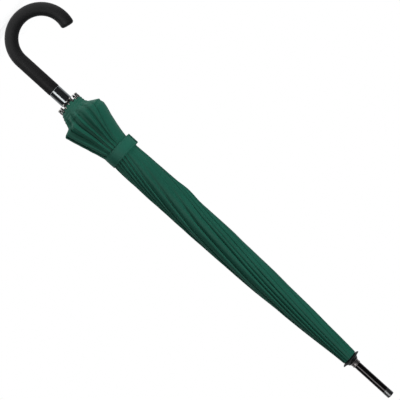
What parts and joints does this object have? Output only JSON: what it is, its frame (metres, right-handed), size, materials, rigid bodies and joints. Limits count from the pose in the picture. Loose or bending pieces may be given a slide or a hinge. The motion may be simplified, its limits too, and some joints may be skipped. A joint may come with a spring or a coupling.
{
  "type": "stick umbrella",
  "caption": "Closed stick umbrella with a crook handle, a rolled green canopy held by a strap, folding ribs, a sliding runner and a metal ferrule.",
  "frame": {"origin": "on the shaft's axis, halfway along the straight grip", "axes": "+Z along the shaft from the grip to the ferrule, and the crook bends towards -X"},
  "size_m": [0.1479, 0.083, 0.857],
  "materials": {
    "grip_soft_black": "soft-touch matte black",
    "collar_chrome": "dark polished chrome",
    "shaft_steel": "black lacquered steel tube",
    "black_nylon": "moulded black nylon",
    "cap_black": "satin black plastic",
    "ferrule_gunmetal": "polished black nickel",
    "tip_grey_metal": "brushed grey metal",
    "spring_steel": "bright spring steel",
    "rib_steel": "black lacquered steel with a nickel end",
    "stretcher_steel": "black lacquered steel",
    "canopy_cloth": "dark green pongee",
    "strap_cloth": "dark green pongee, doubled and stitched"
  },
  "bodies": {
    "shaft": {"shaft_tube": "shaft_steel", "handle_crook": "grip_soft_black", "handle_collar": "collar_chrome", "crown_notch": "black_nylon", "crown_wire": "spring_steel", "top_cap": "cap_black", "ferrule": "ferrule_gunmetal", "ferrule_tip": "tip_grey_metal"},
    "runner": {"runner": "black_nylon"},
    "closed_catch": {"closed_catch": "spring_steel"},
    "open_catch": {"open_catch": "spring_steel"},
    "strap": {"closing_strap": "strap_cloth"},
    "rib_01": {"rib_01": "rib_steel"},
    "stretcher_01": {"stretcher_01": "stretcher_steel"},
    "gore_01": {"gore_01": "canopy_cloth"},
    "rib_02": {"rib_02": "rib_steel"},
    "stretcher_02": {"stretcher_02": "stretcher_steel"},
    "gore_02": {"gore_02": "canopy_cloth"},
    "rib_03": {"rib_03": "rib_steel"},
    "stretcher_03": {"stretcher_03": "stretcher_steel"},
    "gore_03": {"gore_03": "canopy_cloth"},
    "rib_04": {"rib_04": "rib_steel"},
    "stretcher_04": {"stretcher_04": "stretcher_steel"},
    "gore_04": {"gore_04": "canopy_cloth"},
    "rib_05": {"rib_05": "rib_steel"},
    "stretcher_05": {"stretcher_05": "stretcher_steel"},
    "gore_05": {"gore_05": "canopy_cloth"},
    "rib_06": {"rib_06": "rib_steel"},
    "stretcher_06": {"stretcher_06": "stretcher_steel"},
    "gore_06": {"gore_06": "canopy_cloth"},
    "rib_07": {"rib_07": "rib_steel"},
    "stretcher_07": {"stretcher_07": "stretcher_steel"},
    "gore_07": {"gore_07": "canopy_cloth"},
    "rib_08": {"rib_08": "rib_steel"},
    "stretcher_08": {"stretcher_08": "stretcher_steel"},
    "gore_08": {"gore_08": "canopy_cloth"},
    "rib_09": {"rib_09": "rib_steel"},
    "stretcher_09": {"stretcher_09": "stretcher_steel"},
    "gore_09": {"gore_09": "canopy_cloth"},
    "rib_10": {"rib_10": "rib_steel"},
    "stretcher_10": {"stretcher_10": "stretcher_steel"},
    "gore_10": {"gore_10": "canopy_cloth"},
    "rib_11": {"rib_11": "rib_steel"},
    "stretcher_11": {"stretcher_11": "stretcher_steel"},
    "gore_11": {"gore_11": "canopy_cloth"},
    "rib_12": {"rib_12": "rib_steel"},
    "stretcher_12": {"stretcher_12": "stretcher_steel"},
    "gore_12": {"gore_12": "canopy_cloth"},
    "rib_13": {"rib_13": "rib_steel"},
    "stretcher_13": {"stretcher_13": "stretcher_steel"},
    "gore_13": {"gore_13": "canopy_cloth"},
    "rib_14": {"rib_14": "rib_steel"},
    "stretcher_14": {"stretcher_14": "stretcher_steel"},
    "gore_14": {"gore_14": "canopy_cloth"},
    "rib_15": {"rib_15": "rib_steel"},
    "stretcher_15": {"stretcher_15": "stretcher_steel"},
    "gore_15": {"gore_15": "canopy_cloth"},
    "rib_16": {"rib_16": "rib_steel"},
    "stretcher_16": {"stretcher_16": "stretcher_steel"},
    "gore_16": {"gore_16": "canopy_cloth"}
  },
  "joints": [
    {"name": "runner_slide", "type": "slide", "parent": "shaft", "child": "runner", "axis": [0, 0, 1], "range_m": [0, 0.3363], "deforming": ["gore_01", "gore_02", "gore_03", "gore_04", "gore_05", "gore_06", "gore_07", "gore_08", "gore_09", "gore_10", "gore_11", "gore_12", "gore_13", "gore_14", "gore_15", "gore_16", "closing_strap", "closed_catch", "open_catch"]},
    {"name": "rib_hinge_01", "type": "hinge", "parent": "shaft", "child": "rib_01", "pos_m": [0.0098, 0, 0.65192], "axis": [0, -1, 0], "range_deg": [0, 65.1]},
    {"name": "stretcher_hinge_01", "type": "hinge", "parent": "rib_01", "child": "stretcher_01", "pos_m": [0.01449, 0, 0.36846], "axis": [0, -1, 0], "range_deg": [-130.2, 0]},
    {"name": "gore_hinge_01", "type": "hinge", "parent": "rib_01", "child": "gore_01", "pos_m": [-0.27889, 0.06818, 0.18096], "axis": [0.5213, -0.1127, 0.8459], "range_deg": [0, 37.53]},
    {"name": "rib_hinge_02", "type": "hinge", "parent": "shaft", "child": "rib_02", "pos_m": [0.00905, 0.00375, 0.65192], "axis": [0.3827, -0.9239, 0], "range_deg": [0, 65.1]},
    {"name": "stretcher_hinge_02", "type": "hinge", "parent": "rib_02", "child": "stretcher_02", "pos_m": [0.01339, 0.00555, 0.36846], "axis": [0.3827, -0.9239, 0], "range_deg": [-130.2, 0]},
    {"name": "gore_hinge_02", "type": "hinge", "parent": "rib_02", "child": "gore_02", "pos_m": [-0.28375, -0.04373, 0.18096], "axis": [0.5248, 0.0953, 0.8459], "range_deg": [0, 37.53]},
    {"name": "rib_hinge_03", "type": "hinge", "parent": "shaft", "child": "rib_03", "pos_m": [0.00693, 0.00693, 0.65192], "axis": [0.7071, -0.7071, 0], "range_deg": [0, 65.1]},
    {"name": "stretcher_hinge_03", "type": "hinge", "parent": "rib_03", "child": "stretcher_03", "pos_m": [0.01025, 0.01025, 0.36846], "axis": [0.7071, -0.7071, 0], "range_deg": [-130.2, 0]},
    {"name": "gore_hinge_03", "type": "hinge", "parent": "rib_03", "child": "gore_03", "pos_m": [-0.24542, -0.14899, 0.18096], "axis": [0.4483, 0.2889, 0.8459], "range_deg": [0, 37.53]},
    {"name": "rib_hinge_04", "type": "hinge", "parent": "shaft", "child": "rib_04", "pos_m": [0.00375, 0.00905, 0.65192], "axis": [0.9239, -0.3827, 0], "range_deg": [0, 65.1]},
    {"name": "stretcher_hinge_04", "type": "hinge", "parent": "rib_04", "child": "stretcher_04", "pos_m": [0.00555, 0.01339, 0.36846], "axis": [0.9239, -0.3827, 0], "range_deg": [-130.2, 0]},
    {"name": "gore_hinge_04", "type": "hinge", "parent": "rib_04", "child": "gore_04", "pos_m": [-0.16972, -0.23157, 0.18096], "axis": [0.3037, 0.4385, 0.8459], "range_deg": [0, 37.53]},
    {"name": "rib_hinge_05", "type": "hinge", "parent": "shaft", "child": "rib_05", "pos_m": [0, 0.0098, 0.65192], "axis": [1, 0, 0], "range_deg": [0, 65.1]},
    {"name": "stretcher_hinge_05", "type": "hinge", "parent": "rib_05", "child": "stretcher_05", "pos_m": [0, 0.01449, 0.36846], "axis": [1, 0, 0], "range_deg": [-130.2, 0]},
    {"name": "gore_hinge_05", "type": "hinge", "parent": "rib_05", "child": "gore_05", "pos_m": [-0.06818, -0.27889, 0.18096], "axis": [0.1127, 0.5213, 0.8459], "range_deg": [0, 37.53]},
    {"name": "rib_hinge_06", "type": "hinge", "parent": "shaft", "child": "rib_06", "pos_m": [-0.00375, 0.00905, 0.65192], "axis": [0.9239, 0.3827, 0], "range_deg": [0, 65.1]},
    {"name": "stretcher_hinge_06", "type": "hinge", "parent": "rib_06", "child": "stretcher_06", "pos_m": [-0.00555, 0.01339, 0.36846], "axis": [0.9239, 0.3827, 0], "range_deg": [-130.2, 0]},
    {"name": "gore_hinge_06", "type": "hinge", "parent": "rib_06", "child": "gore_06", "pos_m": [0.04373, -0.28375, 0.18096], "axis": [-0.0953, 0.5248, 0.8459], "range_deg": [0, 37.53]},
    {"name": "rib_hinge_07", "type": "hinge", "parent": "shaft", "child": "rib_07", "pos_m": [-0.00693, 0.00693, 0.65192], "axis": [0.7071, 0.7071, 0], "range_deg": [0, 65.1]},
    {"name": "stretcher_hinge_07", "type": "hinge", "parent": "rib_07", "child": "stretcher_07", "pos_m": [-0.01025, 0.01025, 0.36846], "axis": [0.7071, 0.7071, 0], "range_deg": [-130.2, 0]},
    {"name": "gore_hinge_07", "type": "hinge", "parent": "rib_07", "child": "gore_07", "pos_m": [0.14899, -0.24542, 0.18096], "axis": [-0.2889, 0.4483, 0.8459], "range_deg": [0, 37.53]},
    {"name": "rib_hinge_08", "type": "hinge", "parent": "shaft", "child": "rib_08", "pos_m": [-0.00905, 0.00375, 0.65192], "axis": [0.3827, 0.9239, 0], "range_deg": [0, 65.1]},
    {"name": "stretcher_hinge_08", "type": "hinge", "parent": "rib_08", "child": "stretcher_08", "pos_m": [-0.01339, 0.00555, 0.36846], "axis": [0.3827, 0.9239, 0], "range_deg": [-130.2, 0]},
    {"name": "gore_hinge_08", "type": "hinge", "parent": "rib_08", "child": "gore_08", "pos_m": [0.23157, -0.16972, 0.18096], "axis": [-0.4385, 0.3037, 0.8459], "range_deg": [0, 37.53]},
    {"name": "rib_hinge_09", "type": "hinge", "parent": "shaft", "child": "rib_09", "pos_m": [-0.0098, 0, 0.65192], "axis": [0, 1, 0], "range_deg": [0, 65.1]},
    {"name": "stretcher_hinge_09", "type": "hinge", "parent": "rib_09", "child": "stretcher_09", "pos_m": [-0.01449, 0, 0.36846], "axis": [0, 1, 0], "range_deg": [-130.2, 0]},
    {"name": "gore_hinge_09", "type": "hinge", "parent": "rib_09", "child": "gore_09", "pos_m": [0.27889, -0.06818, 0.18096], "axis": [-0.5213, 0.1127, 0.8459], "range_deg": [0, 37.53]},
    {"name": "rib_hinge_10", "type": "hinge", "parent": "shaft", "child": "rib_10", "pos_m": [-0.00905, -0.00375, 0.65192], "axis": [-0.3827, 0.9239, 0], "range_deg": [0, 65.1]},
    {"name": "stretcher_hinge_10", "type": "hinge", "parent": "rib_10", "child": "stretcher_10", "pos_m": [-0.01339, -0.00555, 0.36846], "axis": [-0.3827, 0.9239, 0], "range_deg": [-130.2, 0]},
    {"name": "gore_hinge_10", "type": "hinge", "parent": "rib_10", "child": "gore_10", "pos_m": [0.28375, 0.04373, 0.18096], "axis": [-0.5248, -0.0953, 0.8459], "range_deg": [0, 37.53]},
    {"name": "rib_hinge_11", "type": "hinge", "parent": "shaft", "child": "rib_11", "pos_m": [-0.00693, -0.00693, 0.65192], "axis": [-0.7071, 0.7071, 0], "range_deg": [0, 65.1]},
    {"name": "stretcher_hinge_11", "type": "hinge", "parent": "rib_11", "child": "stretcher_11", "pos_m": [-0.01025, -0.01025, 0.36846], "axis": [-0.7071, 0.7071, 0], "range_deg": [-130.2, 0]},
    {"name": "gore_hinge_11", "type": "hinge", "parent": "rib_11", "child": "gore_11", "pos_m": [0.24542, 0.14899, 0.18096], "axis": [-0.4483, -0.2889, 0.8459], "range_deg": [0, 37.53]},
    {"name": "rib_hinge_12", "type": "hinge", "parent": "shaft", "child": "rib_12", "pos_m": [-0.00375, -0.00905, 0.65192], "axis": [-0.9239, 0.3827, 0], "range_deg": [0, 65.1]},
    {"name": "stretcher_hinge_12", "type": "hinge", "parent": "rib_12", "child": "stretcher_12", "pos_m": [-0.00555, -0.01339, 0.36846], "axis": [-0.9239, 0.3827, 0], "range_deg": [-130.2, 0]},
    {"name": "gore_hinge_12", "type": "hinge", "parent": "rib_12", "child": "gore_12", "pos_m": [0.16972, 0.23157, 0.18096], "axis": [-0.3037, -0.4385, 0.8459], "range_deg": [0, 37.53]},
    {"name": "rib_hinge_13", "type": "hinge", "parent": "shaft", "child": "rib_13", "pos_m": [0, -0.0098, 0.65192], "axis": [-1, 0, 0], "range_deg": [0, 65.1]},
    {"name": "stretcher_hinge_13", "type": "hinge", "parent": "rib_13", "child": "stretcher_13", "pos_m": [0, -0.01449, 0.36846], "axis": [-1, 0, 0], "range_deg": [-130.2, 0]},
    {"name": "gore_hinge_13", "type": "hinge", "parent": "rib_13", "child": "gore_13", "pos_m": [0.06818, 0.27889, 0.18096], "axis": [-0.1127, -0.5213, 0.8459], "range_deg": [0, 37.53]},
    {"name": "rib_hinge_14", "type": "hinge", "parent": "shaft", "child": "rib_14", "pos_m": [0.00375, -0.00905, 0.65192], "axis": [-0.9239, -0.3827, 0], "range_deg": [0, 65.1]},
    {"name": "stretcher_hinge_14", "type": "hinge", "parent": "rib_14", "child": "stretcher_14", "pos_m": [0.00555, -0.01339, 0.36846], "axis": [-0.9239, -0.3827, 0], "range_deg": [-130.2, 0]},
    {"name": "gore_hinge_14", "type": "hinge", "parent": "rib_14", "child": "gore_14", "pos_m": [-0.04373, 0.28375, 0.18096], "axis": [0.0953, -0.5248, 0.8459], "range_deg": [0, 37.53]},
    {"name": "rib_hinge_15", "type": "hinge", "parent": "shaft", "child": "rib_15", "pos_m": [0.00693, -0.00693, 0.65192], "axis": [-0.7071, -0.7071, 0], "range_deg": [0, 65.1]},
    {"name": "stretcher_hinge_15", "type": "hinge", "parent": "rib_15", "child": "stretcher_15", "pos_m": [0.01025, -0.01025, 0.36846], "axis": [-0.7071, -0.7071, 0], "range_deg": [-130.2, 0]},
    {"name": "gore_hinge_15", "type": "hinge", "parent": "rib_15", "child": "gore_15", "pos_m": [-0.14899, 0.24542, 0.18096], "axis": [0.2889, -0.4483, 0.8459], "range_deg": [0, 37.53]},
    {"name": "rib_hinge_16", "type": "hinge", "parent": "shaft", "child": "rib_16", "pos_m": [0.00905, -0.00375, 0.65192], "axis": [-0.3827, -0.9239, 0], "range_deg": [0, 65.1]},
    {"name": "stretcher_hinge_16", "type": "hinge", "parent": "rib_16", "child": "stretcher_16", "pos_m": [0.01339, -0.00555, 0.36846], "axis": [-0.3827, -0.9239, 0], "range_deg": [-130.2, 0]},
    {"name": "gore_hinge_16", "type": "hinge", "parent": "rib_16", "child": "gore_16", "pos_m": [-0.23157, 0.16972, 0.18096], "axis": [0.4385, -0.3037, 0.8459], "range_deg": [0, 37.53]},
    {"name": "strap_hinge", "type": "hinge", "parent": "rib_05", "child": "strap", "pos_m": [0, 0.01961, 0.1804], "axis": [0, 0, 1], "range_deg": [0, 90.1]},
    {"name": "closed_catch_press", "type": "hinge", "parent": "shaft", "child": "closed_catch", "pos_m": [0, -0.0035, 0.1054], "axis": [1, 0, 0], "range_deg": [0, 4], "stiffness_Nm_per_rad": 0.5},
    {"name": "open_catch_press", "type": "hinge", "parent": "shaft", "child": "open_catch", "pos_m": [0, 0.0035, 0.362], "axis": [1, 0, 0], "range_deg": [0, 4], "stiffness_Nm_per_rad": 0.5}
  ],
  "couplings": [
    {"joint": "rib_hinge_01", "follows": "runner_slide", "rad_per_m": 3.376},
    {"joint": "stretcher_hinge_01", "follows": "runner_slide", "rad_per_m": -6.7521},
    {"joint": "gore_hinge_01", "follows": "runner_slide", "rad_per_m": 1.9453},
    {"joint": "rib_hinge_02", "follows": "runner_slide", "rad_per_m": 3.376},
    {"joint": "stretcher_hinge_02", "follows": "runner_slide", "rad_per_m": -6.7521},
    {"joint": "gore_hinge_02", "follows": "runner_slide", "rad_per_m": 1.9453},
    {"joint": "rib_hinge_03", "follows": "runner_slide", "rad_per_m": 3.376},
    {"joint": "stretcher_hinge_03", "follows": "runner_slide", "rad_per_m": -6.7521},
    {"joint": "gore_hinge_03", "follows": "runner_slide", "rad_per_m": 1.9453},
    {"joint": "rib_hinge_04", "follows": "runner_slide", "rad_per_m": 3.376},
    {"joint": "stretcher_hinge_04", "follows": "runner_slide", "rad_per_m": -6.7521},
    {"joint": "gore_hinge_04", "follows": "runner_slide", "rad_per_m": 1.9453},
    {"joint": "rib_hinge_05", "follows": "runner_slide", "rad_per_m": 3.376},
    {"joint": "stretcher_hinge_05", "follows": "runner_slide", "rad_per_m": -6.7521},
    {"joint": "gore_hinge_05", "follows": "runner_slide", "rad_per_m": 1.9453},
    {"joint": "rib_hinge_06", "follows": "runner_slide", "rad_per_m": 3.376},
    {"joint": "stretcher_hinge_06", "follows": "runner_slide", "rad_per_m": -6.7521},
    {"joint": "gore_hinge_06", "follows": "runner_slide", "rad_per_m": 1.9453},
    {"joint": "rib_hinge_07", "follows": "runner_slide", "rad_per_m": 3.376},
    {"joint": "stretcher_hinge_07", "follows": "runner_slide", "rad_per_m": -6.7521},
    {"joint": "gore_hinge_07", "follows": "runner_slide", "rad_per_m": 1.9453},
    {"joint": "rib_hinge_08", "follows": "runner_slide", "rad_per_m": 3.376},
    {"joint": "stretcher_hinge_08", "follows": "runner_slide", "rad_per_m": -6.7521},
    {"joint": "gore_hinge_08", "follows": "runner_slide", "rad_per_m": 1.9453},
    {"joint": "rib_hinge_09", "follows": "runner_slide", "rad_per_m": 3.376},
    {"joint": "stretcher_hinge_09", "follows": "runner_slide", "rad_per_m": -6.7521},
    {"joint": "gore_hinge_09", "follows": "runner_slide", "rad_per_m": 1.9453},
    {"joint": "rib_hinge_10", "follows": "runner_slide", "rad_per_m": 3.376},
    {"joint": "stretcher_hinge_10", "follows": "runner_slide", "rad_per_m": -6.7521},
    {"joint": "gore_hinge_10", "follows": "runner_slide", "rad_per_m": 1.9453},
    {"joint": "rib_hinge_11", "follows": "runner_slide", "rad_per_m": 3.376},
    {"joint": "stretcher_hinge_11", "follows": "runner_slide", "rad_per_m": -6.7521},
    {"joint": "gore_hinge_11", "follows": "runner_slide", "rad_per_m": 1.9453},
    {"joint": "rib_hinge_12", "follows": "runner_slide", "rad_per_m": 3.376},
    {"joint": "stretcher_hinge_12", "follows": "runner_slide", "rad_per_m": -6.7521},
    {"joint": "gore_hinge_12", "follows": "runner_slide", "rad_per_m": 1.9453},
    {"joint": "rib_hinge_13", "follows": "runner_slide", "rad_per_m": 3.376},
    {"joint": "stretcher_hinge_13", "follows": "runner_slide", "rad_per_m": -6.7521},
    {"joint": "gore_hinge_13", "follows": "runner_slide", "rad_per_m": 1.9453},
    {"joint": "rib_hinge_14", "follows": "runner_slide", "rad_per_m": 3.376},
    {"joint": "stretcher_hinge_14", "follows": "runner_slide", "rad_per_m": -6.7521},
    {"joint": "gore_hinge_14", "follows": "runner_slide", "rad_per_m": 1.9453},
    {"joint": "rib_hinge_15", "follows": "runner_slide", "rad_per_m": 3.376},
    {"joint": "stretcher_hinge_15", "follows": "runner_slide", "rad_per_m": -6.7521},
    {"joint": "gore_hinge_15", "follows": "runner_slide", "rad_per_m": 1.9453},
    {"joint": "rib_hinge_16", "follows": "runner_slide", "rad_per_m": 3.376},
    {"joint": "stretcher_hinge_16", "follows": "runner_slide", "rad_per_m": -6.7521},
    {"joint": "gore_hinge_16", "follows": "runner_slide", "rad_per_m": 1.9453},
    {"joint": "strap_hinge", "follows": "runner_slide", "rad_per_m": 4.6708}
  ]
}
